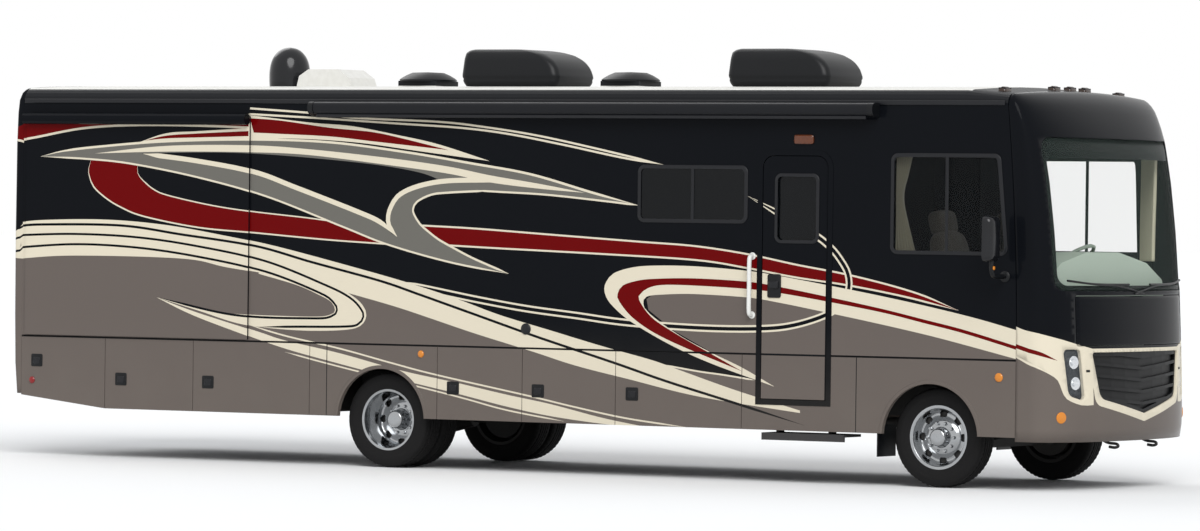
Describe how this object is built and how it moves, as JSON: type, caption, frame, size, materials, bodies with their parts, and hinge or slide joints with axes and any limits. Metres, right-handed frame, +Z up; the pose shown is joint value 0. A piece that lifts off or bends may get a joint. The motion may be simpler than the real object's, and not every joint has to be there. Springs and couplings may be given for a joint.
{
  "type": "motorhome",
  "caption": "Flat-front motorhome: coach body on a truck chassis with slide-out rooms, luggage doors, an entry door, roof units, an awning and steered front wheels.",
  "frame": {"origin": "on the ground, under the middle of the overall box", "axes": "+X forward to the windshield, +Y to the driver's side, +Z up"},
  "size_m": [10.524, 3.26, 3.6311],
  "materials": {
    "body_paint": "gloss black over blue",
    "taupe_paint": "gloss taupe grey",
    "white_roof": "satin white",
    "black_plastic": "satin black",
    "frame_black": "matt black",
    "cast_grey": "as cast",
    "rubber": "matt",
    "chrome": "polished",
    "tinted_glass": "tinted",
    "lamp_lens": "clear",
    "trim_grey": "matt",
    "seat_cloth": "woven",
    "curtain_cloth": "woven",
    "floor_ply": "sealed"
  },
  "bodies": {
    "coach": {"chassis_frame": "frame_black", "engine": "cast_grey", "front_axle": "frame_black", "rear_axle": "frame_black", "floor": "floor_ply", "luggage_bay_rear": "frame_black", "luggage_bay_front": "frame_black", "side_wall_right": "body_paint", "side_wall_left": "body_paint", "window_cab_right": "tinted_glass", "window_cab_left": "tinted_glass", "window_galley": "tinted_glass", "skirt_rear_right": "taupe_paint", "skirt_front_right": "taupe_paint", "skirt_rear_left": "taupe_paint", "skirt_front_left": "taupe_paint", "front_cap": "body_paint", "windshield": "tinted_glass", "grille": "black_plastic", "headlamp_right": "lamp_lens", "headlamp_left": "lamp_lens", "rear_cap": "body_paint", "roof": "white_roof", "dashboard": "trim_grey", "seat_passenger": "seat_cloth", "seat_driver": "seat_cloth", "curtain_right": "curtain_cloth", "curtain_left": "curtain_cloth", "ac_front": "black_plastic", "ac_rear": "black_plastic", "satellite_dome": "black_plastic", "awning": "black_plastic", "mirror_right": "black_plastic", "mirror_left": "black_plastic"},
    "steer_right": {"knuckle_right": "cast_grey"},
    "steer_left": {"knuckle_left": "cast_grey"},
    "wheel_front_right": {"rim_front_right": "chrome", "tyre_front_right": "rubber"},
    "wheel_front_left": {"rim_front_left": "chrome", "tyre_front_left": "rubber"},
    "wheel_rear_right": {"rim_rear_right": "chrome", "tyre_rear_outer_right": "rubber", "tyre_rear_inner_right": "rubber"},
    "wheel_rear_left": {"rim_rear_left": "chrome", "tyre_rear_outer_left": "rubber", "tyre_rear_inner_left": "rubber"},
    "entry_door": {"entry_door": "body_paint", "entry_door_window": "tinted_glass"},
    "slide_right": {"slide_room_right": "body_paint"},
    "slide_left": {"slide_room_left": "body_paint", "window_slide_left": "tinted_glass"},
    "hood": {"hood": "body_paint"},
    "luggage_door_right_1": {"luggage_door_right_1": "taupe_paint"},
    "luggage_door_right_2": {"luggage_door_right_2": "taupe_paint"},
    "luggage_door_right_3": {"luggage_door_right_3": "taupe_paint"},
    "luggage_door_right_4": {"luggage_door_right_4": "taupe_paint"},
    "luggage_door_right_5": {"luggage_door_right_5": "taupe_paint"},
    "luggage_door_right_6": {"luggage_door_right_6": "taupe_paint"},
    "luggage_door_left_1": {"luggage_door_left_1": "taupe_paint"},
    "luggage_door_left_2": {"luggage_door_left_2": "taupe_paint"}
  },
  "joints": [
    {"name": "steering_right", "type": "hinge", "parent": "coach", "child": "steer_right", "pos_m": [3.95, -0.86, 0.41], "axis": [0, 0, 1], "range_deg": [-35, 35]},
    {"name": "steering_left", "type": "hinge", "parent": "coach", "child": "steer_left", "pos_m": [3.95, 0.86, 0.41], "axis": [0, 0, 1], "range_deg": [-35, 35]},
    {"name": "front_wheel_right_spin", "type": "hinge", "parent": "steer_right", "child": "wheel_front_right", "pos_m": [3.95, -1.015, 0.41], "axis": [0, 1, 0], "continuous": true},
    {"name": "front_wheel_left_spin", "type": "hinge", "parent": "steer_left", "child": "wheel_front_left", "pos_m": [3.95, 1.015, 0.41], "axis": [0, 1, 0], "continuous": true},
    {"name": "rear_wheel_right_spin", "type": "hinge", "parent": "coach", "child": "wheel_rear_right", "pos_m": [-1.333, -0.9215, 0.41], "axis": [0, 1, 0], "continuous": true},
    {"name": "rear_wheel_left_spin", "type": "hinge", "parent": "coach", "child": "wheel_rear_left", "pos_m": [-1.333, 0.9215, 0.41], "axis": [0, 1, 0], "continuous": true},
    {"name": "entry_door_hinge", "type": "hinge", "parent": "coach", "child": "entry_door", "pos_m": [2.983, -1.2825, 0.685], "axis": [0, 0, 1], "range_deg": [0, 100]},
    {"name": "luggage_door_right_1_hinge", "type": "hinge", "parent": "coach", "child": "luggage_door_right_1", "pos_m": [-4.20987, -1.2825, 0.433], "axis": [0, 0, 1], "range_deg": [0, 90]},
    {"name": "luggage_door_right_2_hinge", "type": "hinge", "parent": "coach", "child": "luggage_door_right_2", "pos_m": [-3.27688, -1.2825, 0.433], "axis": [0, 0, 1], "range_deg": [0, 90]},
    {"name": "luggage_door_right_3_hinge", "type": "hinge", "parent": "coach", "child": "luggage_door_right_3", "pos_m": [-2.066, -1.2825, 0.433], "axis": [0, 0, 1], "range_deg": [0, 90]},
    {"name": "luggage_door_right_4_hinge", "type": "hinge", "parent": "coach", "child": "luggage_door_right_4", "pos_m": [0.074, -1.2825, 0.433], "axis": [0, 0, 1], "range_deg": [0, 90]},
    {"name": "luggage_door_right_5_hinge", "type": "hinge", "parent": "coach", "child": "luggage_door_right_5", "pos_m": [0.98695, -1.2825, 0.433], "axis": [0, 0, 1], "range_deg": [0, 90]},
    {"name": "luggage_door_right_6_hinge", "type": "hinge", "parent": "coach", "child": "luggage_door_right_6", "pos_m": [2.196, -1.2825, 0.433], "axis": [0, 0, 1], "range_deg": [0, 90]},
    {"name": "luggage_door_left_1_hinge", "type": "hinge", "parent": "coach", "child": "luggage_door_left_1", "pos_m": [-3.60291, 1.2825, 0.433], "axis": [0, 0, -1], "range_deg": [0, 90]},
    {"name": "luggage_door_left_2_hinge", "type": "hinge", "parent": "coach", "child": "luggage_door_left_2", "pos_m": [2.196, 1.2825, 0.433], "axis": [0, 0, -1], "range_deg": [0, 90]},
    {"name": "slide_right_travel", "type": "slide", "parent": "coach", "child": "slide_right", "axis": [0, -1, 0], "range_m": [0, 0.55]},
    {"name": "slide_left_travel", "type": "slide", "parent": "coach", "child": "slide_left", "axis": [0, 1, 0], "range_m": [0, 0.7]},
    {"name": "hood_hinge", "type": "hinge", "parent": "coach", "child": "hood", "pos_m": [5.21414, 0, 1.579], "axis": [0, -1, 0], "range_deg": [0, 65]}
  ],
  "couplings": [
    {"joint": "steering_left", "follows": "steering_right", "ratio": 1}
  ]
}
